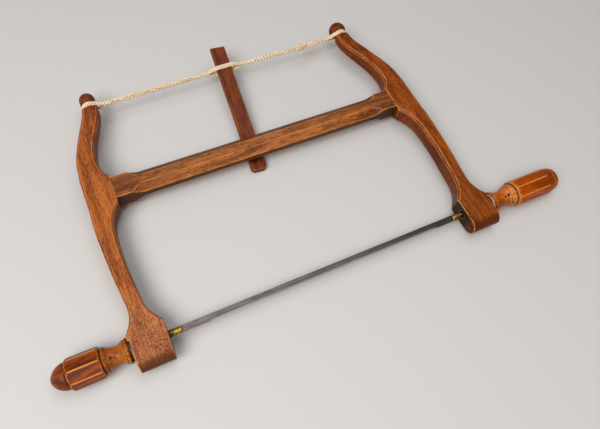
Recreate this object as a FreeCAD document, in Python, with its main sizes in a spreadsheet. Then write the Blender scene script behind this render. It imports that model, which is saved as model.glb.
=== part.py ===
import FreeCAD, Part
import math
import os
import Sketcher

# Bow saw (turning saw): a wooden H-frame, a narrow toothed blade strung between two turned
# handles at the bottom, and a twisted string with a wooden toggle at the top.
#
# Every piece is drawn in the saw's own frame: X along the blade, Y from the blade to the
# horns, Z square to the frame, the zero at the blade's axis half way between the cheeks.
# LAY then tips the whole saw back by the small angle at which it lies on a table, on its two
# handles and on the toggle's tip, and moves it to the row's origin, the bottom centre.

DIMS = [
    # cheeks
    ("cheek_thick", 20.0), ("horn_thick", 13.2), ("taper_start_y", 196.0), ("taper_end_y", 262.0),
    ("block_in_x", 155.0), ("block_low_y", -22.3), ("block_round", 9.9), ("block_corner_y", 13.4),
    ("left_block_top_x", 188.2), ("left_block_top_y", 10.5), ("left_block_end_x", 185.3),
    ("right_block_top_x", 188.0), ("right_block_top_y", 11.0), ("right_block_end_x", 186.5),
    ("swell_in_x", 158.0), ("swell_out_x", 185.6), ("swell_low_y", 138.5), ("swell_top_y", 172.5),
    ("arm_chamfer", 2.0), ("horn_x", 154.0), ("neck_r", 6.0), ("neck_half", 2.9),
    ("left_knob_r", 8.3), ("left_knob_top", 287.4), ("right_knob_r", 10.3),
    ("right_knob_top", 292.0), ("bore_r", 4.2), ("seat_x", 186.0), ("seat_r", 11.0),
    ("far_x", 300.0),
    # stretcher
    ("bar_thick", 18.0), ("bar_low_y", 144.45), ("bar_height", 24.5), ("bar_tongue_x", 141.0),
    ("bar_chamfer_y", 7.6), ("bar_chamfer_z", 5.6), ("tenon_len", 10.0), ("tenon_thick", 6.0),
    ("tenon_low_y", 148.7), ("tenon_high_y", 164.7),
    ("mortise_depth", 10.6), ("mortise_thick", 6.2), ("mortise_low_y", 148.5),
    ("mortise_high_y", 165.25),
    # blade line
    ("pin_x", 152.5), ("stem_in_x", 143.0), ("stem_r", 3.5), ("stem_chamfer", 0.7),
    ("slot_end_x", 156.5), ("slot_width", 1.0), ("blade_thick", 0.8), ("blade_half", 3.4),
    ("blade_end_x", 155.8), ("blade_hole_r", 1.25), ("blade_pin_r", 1.2), ("stem_hole_r", 1.22),
    ("blade_pin_len", 6.8), ("tooth_pitch", 2.1), ("tooth_depth", 1.15), ("teeth_from_x", -117.0),
    ("tooth_count", 114.0),
    # handles and their washers
    ("washer_r", 10.5), ("washer_hole_r", 3.9), ("left_washer_thick", 2.5),
    ("right_washer_thick", 4.5), ("octagon_r", 14.3), ("tang_len", 20.0), ("socket_r", 3.53),
    ("socket_len", 20.4), ("peg_r", 1.25), ("peg_hole_r", 1.27), ("peg_len", 16.2),
    ("peg_clock", 16.0), ("left_neck", 23.5), ("left_barrel", 27.5), ("left_nose", 14.5),
    ("left_clock", 7.8), ("left_peg_u", 15.5), ("left_collar", 4.6), ("left_dome_r", 11.8),
    ("left_ease", 2.2), ("left_ease_r", 13.1),
    ("right_neck", 28.5), ("right_barrel", 49.0), ("right_nose", 10.5), ("right_clock", 0.9),
    ("right_peg_u", 19.0), ("right_collar", 7.0), ("right_dome_r", 12.3), ("right_ease", 9.0),
    ("right_ease_r", 12.6),
    # cord and toggle
    ("left_cord_y", 268.5), ("right_cord_y", 274.0), ("rope_r", 2.6), ("strand_r", 2.0),
    ("strand_gap", 2.05), ("loop_r", 8.1), ("throat_x", 137.0), ("throat_run", 3.5),
    ("split_right_x", 22.0), ("split_left_x", -22.0), ("over_toggle_z", 5.4), ("toggle_x", 0.6),
    ("toggle_width", 17.2), ("toggle_thick", 6.0), ("toggle_up", 29.5), ("toggle_down", 136.8),
    ("toggle_lean", 5.2), ("toggle_pitch", 6.318), ("toggle_chamfer", 1.1), ("tip_chamfer", 3.0),
    ("knot_x", 103.0), ("knot_r", 4.4), ("knot_len", 5.0), ("tail_r", 0.95), ("tail_len", 9.0),
    # how the saw lies
    ("lay_deg", 1.64), ("home_x", -12.25), ("home_y", -139.52), ("home_z", 14.30),
]

doc = FreeCAD.newDocument("BowSaw")
sheet = doc.addObject("Spreadsheet::Sheet", "Dims")
for row, (word, number) in enumerate(DIMS, start=1):
    sheet.set("A%d" % row, word)
    sheet.set("B%d" % row, repr(number))
    sheet.setAlias("B%d" % row, word)
doc.recompute()

Vector = FreeCAD.Vector
Rotation = FreeCAD.Rotation
Placement = FreeCAD.Placement
X_AXIS = Vector(1, 0, 0)
Y_AXIS = Vector(0, 1, 0)
Z_AXIS = Vector(0, 0, 1)


def val(word):
    """One dimension, read back from the sheet."""
    return float(sheet.get(word))


LAY = Placement(Vector(val("home_x"), val("home_y"), val("home_z")),
                Rotation(X_AXIS, val("lay_deg")))
CORD_LEAN = math.degrees(math.atan2(val("right_cord_y") - val("left_cord_y"), 2 * val("horn_x")))
CORD = Placement(Vector(0, (val("left_cord_y") + val("right_cord_y")) / 2, 0),
                 Rotation(Z_AXIS, CORD_LEAN))
NODES = []


# ---------------------------------------------------------------- helpers

def new_body(label, place=None):
    """A body whose label is its node name, placed where it belongs in the laid saw."""
    body = doc.addObject("PartDesign::Body", label)
    body.Label = label
    body.Placement = LAY if place is None else LAY.multiply(place)
    NODES.append(body)
    return body


def plane(body, role):
    for feature in body.Origin.OriginFeatures:
        if feature.Role == role:
            return feature
    raise ValueError(role)


def new_sketch(body, name, geometry, role="XY_Plane", offset=None):
    """A sketch on one of the body's planes, holding the given curves."""
    sketch = doc.addObject("Sketcher::SketchObject", name)
    body.addObject(sketch)
    sketch.AttachmentSupport = [(plane(body, role), "")]
    sketch.MapMode = "FlatFace"
    if offset is not None:
        sketch.AttachmentOffset = offset
    for curve in geometry:
        sketch.addGeometry(curve, False)
    return sketch


def v2(x, y):
    return Vector(x, y, 0)


def polygon(points):
    """Closed chain of straight lines."""
    ring = list(points) + [points[0]]
    return [Part.LineSegment(v2(*a), v2(*b)) for a, b in zip(ring[:-1], ring[1:])]


def rectangle(x0, y0, x1, y1):
    return polygon([(x0, y0), (x1, y0), (x1, y1), (x0, y1)])


def circle(x, y, r):
    return [Part.Circle(v2(x, y), Z_AXIS, r)]


def spline(points, first=None, last=None):
    """Smooth curve through points; first and last are end directions where they matter."""
    curve = Part.BSplineCurve()
    through = [v2(*p) for p in points]
    if first is None and last is None:
        curve.interpolate(through)
        return curve
    start = v2(*first) if first else (through[1] - through[0]).normalize()
    finish = v2(*last) if last else (through[-1] - through[-2]).normalize()
    curve.interpolate(Points=through, InitialTangent=start, FinalTangent=finish)
    return curve


def straight(a, b):
    return Part.LineSegment(v2(*a), v2(*b))


def outline(chains):
    """Closed outline: chains of two points are lines, longer ones smooth curves."""
    curves = []
    for chain in chains:
        curves.append(straight(*chain) if len(chain) == 2 else spline(chain))
    return curves


def bind(feature, prop, expression):
    feature.setExpression(prop, expression)


def extrude(body, kind, name, sketch, length):
    """Pad or pocket, the same length each side of its sketch."""
    feature = doc.addObject("PartDesign::" + kind, name)
    body.addObject(feature)
    feature.Profile = sketch
    feature.SideType = "Symmetric"
    bind(feature, "Length", length)
    sketch.Visibility = False
    return feature


def pad(body, name, sketch, length):
    return extrude(body, "Pad", name, sketch, length)


def pocket(body, name, sketch, length):
    """A pocket must take something away, or its sketch lies in the wrong place."""
    doc.recompute()
    before = body.Shape.Volume
    feature = extrude(body, "Pocket", name, sketch, length)
    doc.recompute()
    if not body.Shape.Volume < before - 0.01:
        raise RuntimeError("pocket cut nothing: " + name)
    return feature


def revolve(body, name, sketch, axis):
    feature = doc.addObject("PartDesign::Revolution", name)
    body.addObject(feature)
    feature.Profile = sketch
    feature.ReferenceAxis = axis
    feature.Angle = 360.0
    sketch.Visibility = False
    return feature


def turned_cut(body, name, sketch, least):
    """Groove turned round the blade's axis; it must take away at least so much."""
    doc.recompute()
    before = body.Shape.Volume
    feature = doc.addObject("PartDesign::Groove", name)
    body.addObject(feature)
    feature.Profile = sketch
    feature.ReferenceAxis = (plane(body, "X_Axis"), [""])
    feature.Angle = 360.0
    sketch.Visibility = False
    doc.recompute()
    if not body.Shape.Volume < before - least:
        raise RuntimeError("groove cut too little: " + name)
    return feature


def dress(body, kind, name, prop, size, test):
    """Fillet or chamfer on the edges that pass the test."""
    doc.recompute()
    base = body.Tip
    names = []
    for number, edge in enumerate(base.Shape.Edges, start=1):
        if test(edge):
            names.append("Edge%d" % number)
    if not names:
        raise RuntimeError("no edges for " + name)
    feature = doc.addObject("PartDesign::" + kind, name)
    body.addObject(feature)
    feature.Base = (base, names)
    bind(feature, prop, size)
    doc.recompute()
    return feature


def span(edge, axis):
    box = edge.BoundBox
    low = (box.XMin, box.YMin, box.ZMin)[axis]
    high = (box.XMax, box.YMax, box.ZMax)[axis]
    return low, high


# ---------------------------------------------------------------- cheeks

def cheek(side_name, side):
    """One upright: flat block at the blade, swell at the stretcher, round horn at the cord.

    side is +1 for the right cheek and -1 for the left one.
    """
    label = side_name + "_cheek"
    body = new_body(label)
    x_in = val("block_in_x")
    low = val("block_low_y")
    corner = val("block_corner_y")
    top_x = val(side_name + "_block_top_x")
    top_y = val(side_name + "_block_top_y")
    swell_in = val("swell_in_x")
    swell_out = val("swell_out_x")
    swell_low = val("swell_low_y")
    swell_top = val("swell_top_y")
    cord_y = val(side_name + "_cord_y")
    arm_top = cord_y - val("neck_half")
    inner_low = [(x_in, corner), (158.8, 18.0), (161.7, 22.5), (164.0, 27.8), (165.6, 33.0),
                 (166.5, 39.5), (167.3, 48.0), (168.2, 58.0), (169.0, 68.0), (169.6, 78.0),
                 (169.9, 88.0), (169.9, 98.0), (169.5, 108.0), (168.5, 117.0), (166.8, 124.0),
                 (164.2, 130.0), (swell_in + 2.9, 134.9), (swell_in, swell_low)]
    inner_top = [(swell_in, swell_top), (160.9, 176.6), (163.1, 181.6), (164.4, 187.5),
                 (164.7, 194.0), (164.2, 201.5), (162.9, 209.0), (161.0, 216.0),
                 (158.1, 224.0), (154.9, 232.0), (151.7, 240.0), (148.4, 249.0), (146.4, 257.0),
                 (146.0, arm_top)]
    outer_top = [(161.8, arm_top), (164.0, 256.5), (166.9, 248.0), (170.3, 239.0),
                 (173.6, 230.0), (176.8, 221.0), (179.7, 212.0), (181.9, 204.0),
                 (183.5, 196.0), (184.5, 188.0), (185.1, 180.0), (swell_out, swell_top)]
    outer_low = [(swell_out, swell_low), (186.1, 128.0), (186.1, 115.0), (185.6, 100.0),
                 (184.8, 86.0), (183.9, 72.0), (182.9, 60.0), (181.8, 50.0), (180.9, 41.0),
                 (180.3, 33.5), (180.6, 26.5), ((180.9 + top_x) / 2 - 0.9, (26.5 + top_y) / 2 - 1.0),
                 (top_x, top_y)]
    chains = [inner_low,
              [(swell_in, swell_low), (swell_in, swell_top)],
              inner_top,
              [inner_top[-1], outer_top[0]],
              outer_top,
              [(swell_out, swell_top), (swell_out, swell_low)],
              outer_low,
              [(top_x, top_y), (val(side_name + "_block_end_x"), low)],
              [(val(side_name + "_block_end_x"), low), (x_in, low)],
              [(x_in, low), (x_in, corner)]]
    curves = []
    for chain in chains:
        points = [(side * x, y) for x, y in chain]
        if chain is outer_top:
            curves.append(spline(points, last=(0, -1)))
        elif chain is outer_low:
            curves.append(spline(points, first=(0, -1)))
        else:
            curves.extend(outline([points]))
    face = new_sketch(body, label + "_outline", curves)
    pad(body, label + "_blank", face, "Dims.cheek_thick")

    # The arm thins towards the horn, front and back.
    half = val("cheek_thick") / 2
    thin = val("horn_thick") / 2
    start = val("taper_start_y")
    end = val("taper_end_y")
    beyond = arm_top + 6.0
    thin_beyond = thin - (half - thin) * (beyond - end) / (end - start)
    for name, way in (("front", 1), ("back", -1)):
        wedge = polygon([(start, way * half), (beyond, way * thin_beyond),
                         (beyond, way * (half + 4)), (start, way * (half + 4))])
        side_face = new_sketch(body, label + "_taper_" + name, wedge, "YZ_Plane")
        pocket(body, label + "_thin_" + name, side_face, "2 * Dims.far_x")

    # The lower end is rounded over in the thickness.
    dress(body, "Fillet", label + "_end_round", "Radius", "Dims.block_round",
          lambda e: span(e, 1)[1] < low + 0.01 and abs(e.CenterOfMass.z) > half - 0.01)

    # The arms are eased along their edges, the outer ones in one run past the swell.
    def arm_edge(edge):
        y0, y1 = span(edge, 1)
        if y1 - y0 < 12 or abs(edge.CenterOfMass.z) < 5 or y0 < 10 or y1 > arm_top + 2:
            return False
        on_inner_swell = abs(abs(edge.CenterOfMass.x) - swell_in) < 0.1
        return not on_inner_swell

    dress(body, "Chamfer", label + "_eased", "Size", "Dims.arm_chamfer", arm_edge)

    # Horn: a groove for the cord under a round-topped knob.
    x_horn = side * val("horn_x")
    neck_r = val("neck_r")
    knob_r = val(side_name + "_knob_r")
    knob_top = val(side_name + "_knob_top")
    above = cord_y + val("neck_half") - 0.4
    below = arm_top - 12.0
    flare = knob_r - neck_r
    lip = [(neck_r, above), (neck_r + 0.45 * flare, above + 0.55), (neck_r + 0.85 * flare, above + 2.2),
           (knob_r, above + 4.8)]
    wall = knob_top - knob_r
    if wall < above + 5.0:
        wall = above + 5.0
    chains = [[(0, below), (neck_r, below)], [(neck_r, below), (neck_r, above)], lip,
              [(knob_r, above + 4.8), (knob_r, wall)]]
    curves = outline([[(x_horn + r, y) for r, y in chain] for chain in chains])
    rise = knob_top - wall
    dome = [(knob_r * math.cos(math.radians(a)), wall + rise * math.sin(math.radians(a)))
            for a in (0, 15, 30, 45, 60, 75, 90)]
    dome[-1] = (0.0, knob_top)
    curves.append(spline([(x_horn + r, y) for r, y in dome], (0, 1), (-1, 0)))
    curves.append(straight((x_horn, knob_top), (x_horn, below)))
    horn = new_sketch(body, label + "_horn_profile", curves)
    horn.addGeometry(Part.LineSegment(v2(x_horn, 240), v2(x_horn, 300)), True)
    revolve(body, label + "_horn", horn, (horn, ["Axis0"]))

    # Bore for the stem, seat for the washer, and mortise for the stretcher's stub tenon.
    bore = new_sketch(body, label + "_bore_circle", circle(0, 0, val("bore_r")), "YZ_Plane")
    pocket(body, label + "_bore", bore, "2 * Dims.far_x")
    middle = side * (val("seat_x") + 10)
    seat = new_sketch(body, label + "_seat_circle", circle(0, 0, val("seat_r")), "YZ_Plane",
                      Placement(Vector(0, 0, middle), Rotation()))
    pocket(body, label + "_seat", seat, "20")
    deep = swell_in + val("mortise_depth")
    slot = new_sketch(body, label + "_mortise_outline",
                      rectangle(side * (swell_in - 2), val("mortise_low_y"),
                                side * deep, val("mortise_high_y")))
    pocket(body, label + "_mortise", slot, "Dims.mortise_thick")
    return body


# ---------------------------------------------------------------- stretcher

def stretcher():
    """Cross-bar with stub tenons, its four long edges chamfered between lamb's tongues."""
    body = new_body("stretcher")
    x_end = val("swell_in_x")
    low = val("bar_low_y")
    high = low + val("bar_height")
    half = val("bar_thick") / 2
    bar = new_sketch(body, "bar_outline", rectangle(-x_end, low, x_end, high))
    pad(body, "bar", bar, "Dims.bar_thick")
    x_tenon = x_end + val("tenon_len")
    tenons = new_sketch(body, "tenon_outline",
                        rectangle(-x_tenon, val("tenon_low_y"), x_tenon, val("tenon_high_y")))
    pad(body, "tenons", tenons, "Dims.tenon_thick")

    cut_y = val("bar_chamfer_y")
    cut_z = val("bar_chamfer_z")
    deep = cut_y * cut_z / math.hypot(cut_y, cut_z)
    x_stop = val("bar_tongue_x")
    tongue = [(0.0, 0.0), (-0.7, -0.24), (-2.0, -0.42), (-4.2, -0.62), (-7.0, -0.85),
              (-9.2, -0.96), (-11.0, -1.0)]
    right = [(x_stop + dx, fall * deep) for dx, fall in tongue]
    left = [(-x, z) for x, z in reversed(right)]
    lift = 6.0
    for index, (way_y, way_z) in enumerate(((1, 1), (1, -1), (-1, 1), (-1, -1)), start=1):
        corner = Vector(0, high if way_y > 0 else low, way_z * half)
        turn = math.degrees(math.atan2(way_z * cut_y, way_y * cut_z))
        curves = [spline(right), straight(right[-1], left[0]), spline(left),
                  straight(left[-1], (left[-1][0], lift)),
                  straight((left[-1][0], lift), (right[0][0], lift)),
                  straight((right[0][0], lift), right[0])]
        cut = new_sketch(body, "edge_cut_%d" % index, curves, "XY_Plane",
                         Placement(corner, Rotation(X_AXIS, turn)))
        pocket(body, "edge_chamfer_%d" % index, cut, "2 * Dims.bar_height")
    return body


# ---------------------------------------------------------------- blade line

def blade():
    body = new_body("blade")
    half = val("blade_half")
    x_end = val("blade_end_x")
    pitch = val("tooth_pitch")
    depth = val("tooth_depth")
    points = [(-x_end, half - 1), (-x_end, 1 - half), (1 - x_end, -half)]
    x = val("teeth_from_x")
    for _ in range(int(val("tooth_count"))):
        points.append((x, -half))
        points.append((x + 0.35 * pitch, -half + depth))
        x += pitch
    points.append((x, -half))
    points.extend([(x_end - 1, -half), (x_end, 1 - half), (x_end, half - 1),
                   (x_end - 1, half), (1 - x_end, half)])
    holes = circle(-val("pin_x"), 0, val("blade_hole_r"))
    holes += circle(val("pin_x"), 0, val("blade_hole_r"))
    face = new_sketch(body, "blade_outline", polygon(points) + holes)
    pad(body, "blade_plate", face, "Dims.blade_thick")
    return body


def peg_plane():
    """Sketch offset square to the handle's cross peg, which leans towards the blade's teeth."""
    return Placement(Vector(0, 0, 0), Rotation(X_AXIS, val("peg_clock")))


def peg_x(side_name):
    washer = val(side_name + "_washer_thick")
    return val("seat_x") + washer + val(side_name + "_peg_u")


def stem(side_name, side):
    """Round brass stem: slotted for the blade at one end, pegged in the handle at the other."""
    label = side_name + "_stem"
    body = new_body(label)
    x_in = val("stem_in_x")
    r = val("stem_r")
    edge = val("stem_chamfer")
    x_tang = val("seat_x") + val(side_name + "_washer_thick") + val("tang_len")
    half = [(x_in, 0), (x_in, r - edge), (x_in + edge, r), (x_tang - edge, r),
            (x_tang, r - edge), (x_tang, 0)]
    profile = new_sketch(body, label + "_profile", polygon([(side * x, y) for x, y in half]))
    revolve(body, label + "_rod", profile, (plane(body, "X_Axis"), [""]))
    slot = new_sketch(body, label + "_slot_outline",
                      rectangle(side * (x_in - 1), -r - 1, side * val("slot_end_x"), r + 1))
    pocket(body, label + "_slot", slot, "Dims.slot_width")
    hole = new_sketch(body, label + "_pin_circle",
                      circle(side * val("pin_x"), 0, val("stem_hole_r")))
    pocket(body, label + "_pin_hole", hole, "6 * Dims.stem_r")
    cross = new_sketch(body, label + "_peg_circle",
                       circle(side * peg_x(side_name), 0, val("peg_hole_r")),
                       "XY_Plane", peg_plane())
    pocket(body, label + "_peg_hole", cross, "6 * Dims.stem_r")
    return body


def blade_pin(side_name, side):
    body = new_body(side_name + "_blade_pin")
    face = new_sketch(body, side_name + "_blade_pin_circle",
                      circle(side * val("pin_x"), 0, val("blade_pin_r")))
    pad(body, side_name + "_blade_pin_rod", face, "Dims.blade_pin_len")
    return body


def handle_peg(side_name, side):
    body = new_body(side_name + "_handle_peg")
    face = new_sketch(body, side_name + "_peg_circle",
                      circle(side * peg_x(side_name), 0, val("peg_r")), "XY_Plane", peg_plane())
    pad(body, side_name + "_peg_rod", face, "Dims.peg_len")
    return body


def washer(side_name, side):
    """Metal collar between the block and the handle."""
    label = side_name + "_washer"
    body = new_body(label)
    x0 = val("seat_x")
    thick = val(side_name + "_washer_thick")
    r0 = val("washer_hole_r")
    r1 = val("washer_r")
    ring = [(x0, r0), (x0, r1 - 0.4), (x0 + 0.4, r1), (x0 + thick - 0.8, r1),
            (x0 + thick, r1 - 0.8), (x0 + thick, r0)]
    profile = new_sketch(body, label + "_profile", polygon([(side * x, y) for x, y in ring]))
    revolve(body, label + "_ring", profile, (plane(body, "X_Axis"), [""]))
    return body


def handle(side_name, side):
    """Turned handle: ring and cove by the washer, collar, eight-sided barrel, domed end."""
    label = side_name + "_handle"
    body = new_body(label)
    x0 = val("seat_x") + val(side_name + "_washer_thick")
    neck = val(side_name + "_neck")
    barrel = val(side_name + "_barrel")
    nose = val(side_name + "_nose")
    end = neck + barrel
    cove_out = neck - val(side_name + "_collar") - 1.0
    mid = 0.60 * cove_out
    core = 10.6
    dome_r = val(side_name + "_dome_r")
    lip = neck - 1.0

    def at(points):
        return [(side * (x0 + u), r) for u, r in points]

    chains = [
        [(0, 0), (0, 10.4)],
        [(0, 10.4), (0.5, 11.2), (1.5, 11.6), (2.5, 11.3), (3.1, 10.6)],
        [(3.1, 10.6), (3.6, 10.9), (4.3, 10.9), (5.0, 10.3)],
        [(5.0, 10.3), (0.5 * (5 + mid), 8.95), (mid, 8.3), (0.5 * (mid + cove_out), 8.8),
         (cove_out, 10.1)],
        [(cove_out, 10.1), (cove_out + 0.3, 10.6), (0.5 * (cove_out + lip), 11.5),
         (lip - 0.5, 12.0), (lip, 11.6)],
        [(lip, 11.6), (lip, core)],
        [(lip, core), (neck + 1, core)],
        [(neck + 1, core), (end, core)],
        [(end, core), (end + 0.02, 0.955 * dome_r), (end + 0.14 * nose, dome_r),
         (end + 0.35 * nose, dome_r * 0.955), (end + 0.58 * nose, dome_r * 0.82),
         (end + 0.80 * nose, dome_r * 0.58), (end + 0.945 * nose, dome_r * 0.30), (end + nose, 0)],
        [(end + nose, 0), (0, 0)],
    ]
    chains[8:9] = [[(end, core), (end, 0.93 * dome_r)],
                   [(end, 0.93 * dome_r), (end + 0.12 * nose, dome_r),
                    (end + 0.35 * nose, dome_r * 0.955), (end + 0.58 * nose, dome_r * 0.82),
                    (end + 0.80 * nose, dome_r * 0.58), (end + 0.945 * nose, dome_r * 0.30),
                    (end + nose, 0)]]
    profile = new_sketch(body, label + "_profile", outline([at(c) for c in chains]))
    revolve(body, label + "_turning", profile, (plane(body, "X_Axis"), [""]))

    # Eight flats; the clock angle is that of one edge, from +Z towards the blade's teeth.
    r = val("octagon_r")
    clock = math.radians(val(side_name + "_clock"))
    corners = []
    for k in range(8):
        a = clock + k * math.pi / 4
        corners.append((-r * math.sin(a), r * math.cos(a)))
    centre = side * (x0 + neck + barrel / 2)
    flats = new_sketch(body, label + "_octagon", polygon(corners), "YZ_Plane",
                       Placement(Vector(0, 0, centre), Rotation()))
    pad(body, label + "_barrel", flats, "Dims.%s_barrel" % side_name)

    # The barrel's ends are turned down, which trims its eight corners to arcs.
    x_near = x0 + neck
    x_far = x0 + end
    wide = r + 2
    near = [(x_near - 0.1, 13.1), (x_near + 2.0, r + 0.05), (x_near + 2.0, wide),
            (x_near - 0.1, wide)]
    ease = val(side_name + "_ease")
    far = [(x_far + 0.1, val(side_name + "_ease_r")), (x_far - ease, r + 0.05),
           (x_far - ease, wide), (x_far + 0.1, wide)]
    for name, ring in (("near", near), ("far", far)):
        trim = new_sketch(body, label + "_trim_" + name, polygon([(side * x, y) for x, y in ring]))
        turned_cut(body, label + "_turned_" + name, trim, 5)

    socket = new_sketch(body, label + "_socket_outline",
                        polygon([(side * (x0 - 1), 0), (side * (x0 - 1), val("socket_r")),
                                 (side * (x0 + val("socket_len")), val("socket_r")),
                                 (side * (x0 + val("socket_len")), 0)]))
    turned_cut(body, label + "_socket", socket, 100)
    cross = new_sketch(body, label + "_peg_circle",
                       circle(side * peg_x(side_name), 0, val("peg_hole_r")),
                       "XY_Plane", peg_plane())
    pocket(body, label + "_peg_hole", cross, "2.6 * Dims.octagon_r")
    return body


# ---------------------------------------------------------------- cord and toggle

def rounded_run(points, radii):
    """Lines joined by tangent arcs in the sketch plane, and the run's true length."""
    curves = []
    total = 0.0
    here = Vector(*points[0], 0)
    for i in range(1, len(points) - 1):
        a = Vector(*points[i - 1], 0)
        b = Vector(*points[i], 0)
        c = Vector(*points[i + 1], 0)
        d_in = (b - a).normalize()
        d_out = (c - b).normalize()
        turn = d_in.getAngle(d_out)
        cut = radii[i - 1] * math.tan(turn / 2)
        start = b - d_in * cut
        finish = b + d_out * cut
        bisect = (d_out - d_in).normalize()
        centre = b + bisect * (radii[i - 1] / math.cos(turn / 2))
        middle = centre - bisect * radii[i - 1]
        curves.append(Part.LineSegment(here, start))
        curves.append(Part.Arc(start, middle, finish))
        total += (start - here).Length + radii[i - 1] * turn
        here = finish
    last = Vector(*points[-1], 0)
    curves.append(Part.LineSegment(here, last))
    total += (last - here).Length
    return curves, total


def cord_plane():
    """Sketch offset into the plane of the cord's loops: sketch X is X and sketch Y is Z."""
    return Placement(Vector(0, 0, 0), Rotation(X_AXIS, 90))


def tube(body, label, curves, start, radius):
    """Round tube along curves that lie in the cord's level and start along X."""
    spine = new_sketch(body, label + "_path", curves, "XY_Plane", cord_plane())
    ring = new_sketch(body, label + "_section", circle(0, 0, radius), "YZ_Plane",
                      Placement(Vector(0, start[1], start[0]), Rotation()))
    pipe = doc.addObject("PartDesign::AdditivePipe", label + "_tube")
    body.addObject(pipe)
    pipe.Profile = ring
    pipe.Spine = (spine, ["Edge%d" % (i + 1) for i in range(len(curves))])
    return pipe


LENGTHS = []


def horn_loop(side_name, side):
    """The turns of string round one horn, from the throat where they part to the throat."""
    label = side_name + "_cord_loop"
    body = new_body(label, CORD)
    throat = val("throat_x")
    gap = val("strand_gap")
    r_strand = val("strand_r")
    x_horn = val("horn_x")
    r_loop = val("loop_r")
    run = val("throat_run")
    corner = (throat + run, gap)
    reach = math.hypot(x_horn - corner[0], corner[1])
    slope = math.asin(r_loop / reach) - math.atan2(corner[1], x_horn - corner[0])
    touch = (x_horn - r_loop * math.sin(slope), r_loop * math.cos(slope))
    radius = 0.45 * run / math.tan(slope / 2)
    start = (side * throat, gap)
    leg = [start, (side * corner[0], gap), (side * touch[0], touch[1])]
    curves, length = rounded_run(leg, [radius])
    far = (side * (x_horn + r_loop), 0)
    around = Part.Arc(v2(side * touch[0], touch[1]), v2(*far), v2(side * touch[0], -touch[1]))
    back, _ = rounded_run([(x, -z) for x, z in reversed(leg)], [radius])
    turn = r_loop * (math.pi + 2 * slope)
    tube(body, label, curves + [around] + back, start, r_strand)
    LENGTHS.append((body, 2 * length + turn, r_strand))
    print(label, "arc radii mm:", round(radius, 1), r_loop)
    return body


def rope(side_name, x0, x1):
    """Twisted part of the cord between a horn's throat and the toggle."""
    label = side_name + "_cord_twist"
    body = new_body(label, CORD)
    face = new_sketch(body, label + "_circle", circle(0, 0, val("rope_r")),
                      "YZ_Plane", Placement(Vector(0, 0, (x0 + x1) / 2), Rotation()))
    feature = doc.addObject("PartDesign::Pad", label + "_rod")
    body.addObject(feature)
    feature.Profile = face
    feature.SideType = "Symmetric"
    split = {"left": "Dims.throat_x + Dims.split_left_x",
             "right": "Dims.throat_x - Dims.split_right_x"}
    bind(feature, "Length", split[side_name])
    return body


def toggle_strand(name, way):
    """Half of the strands, passing over one face of the toggle."""
    body = new_body(name, CORD)
    gap = val("strand_gap")
    over = val("over_toggle_z")
    x0 = val("split_left_x")
    x1 = val("split_right_x")
    half = val("toggle_width") / 2 + 1.4
    mid = val("toggle_x")
    points = [(x0, way * gap), (x0 + 4.5, way * gap), (mid - half, way * over),
              (mid + half, way * over), (x1 - 4.5, way * gap), (x1, way * gap)]
    radii = []
    for a, b, c in zip(points[:-2], points[1:-1], points[2:]):
        d_in = Vector(b[0] - a[0], b[1] - a[1], 0)
        d_out = Vector(c[0] - b[0], c[1] - b[1], 0)
        run = min(d_in.Length, d_out.Length)
        radii.append(0.45 * run / math.tan(d_in.getAngle(d_out) / 2))
    curves, length = rounded_run(points, radii)
    tube(body, name, curves, points[0], val("strand_r"))
    LENGTHS.append((body, length, val("strand_r")))
    print(name, "arc radii mm:", [round(r, 1) for r in radii])
    return body


def knot():
    """Knot that closes the string, with its two cut ends."""
    body = new_body("cord_knot", CORD)
    x = val("knot_x")
    face = new_sketch(body, "knot_ring", circle(0, 0, val("knot_r"))
                      + circle(0, 0, val("rope_r") + 0.06),
                      "YZ_Plane", Placement(Vector(0, 0, x), Rotation()))
    pad(body, "knot_wrap", face, "Dims.knot_len")
    for name, lean in (("near", 35), ("far", -35)):
        tail = doc.addObject("PartDesign::AdditiveCylinder", "tail_" + name)
        body.addObject(tail)
        bind(tail, "Radius", "Dims.tail_r")
        bind(tail, "Height", "Dims.tail_len")
        tail.AttachmentSupport = [(plane(body, "XY_Plane"), "")]
        tail.MapMode = "FlatFace"
        aim = Rotation(Z_AXIS, Vector(math.sin(math.radians(lean)),
                                      -math.cos(math.radians(lean)), 0.12))
        tail.AttachmentOffset = Placement(Vector(x, -3.2, 1.2), aim)
    return body


def toggle():
    """Flat stick through the cord; its tip bears on the back of the stretcher."""
    lean = Rotation(Z_AXIS, -val("toggle_lean"))
    pitch = Rotation(X_AXIS, val("toggle_pitch"))
    centre = CORD.multVec(Vector(val("toggle_x"), 0, 0))
    place = Placement(centre, pitch.multiply(lean))
    body = new_body("toggle", place)
    half = val("toggle_width") / 2
    up = val("toggle_up")
    down = -val("toggle_down")
    tip = val("tip_chamfer")
    face = new_sketch(body, "toggle_outline",
                      polygon([(half, up), (-half, up), (-half, down + tip),
                               (tip - half, down), (half - tip, down), (half, down + tip)]))
    pad(body, "toggle_blank", face, "Dims.toggle_thick")
    edge_z = val("toggle_thick") / 2 - 0.01

    def long_edge(edge):
        y0, y1 = span(edge, 1)
        return y1 - y0 > 50 and abs(edge.CenterOfMass.z) > edge_z

    dress(body, "Chamfer", "toggle_eased", "Size", "Dims.toggle_chamfer", long_edge)
    return body


# ---------------------------------------------------------------- build

SIDES = (("left", -1), ("right", 1))
stretcher()
for side_word, sign in SIDES:
    cheek(side_word, sign)
    stem(side_word, sign)
    blade_pin(side_word, sign)
    washer(side_word, sign)
    handle(side_word, sign)
    handle_peg(side_word, sign)
    horn_loop(side_word, sign)
blade()
rope("left", -val("throat_x"), val("split_left_x"))
rope("right", val("split_right_x"), val("throat_x"))
toggle_strand("cord_strand_front", 1)
toggle_strand("cord_strand_back", -1)
knot()
toggle()
doc.recompute()

# ---------------------------------------------------------------- check and export

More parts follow.
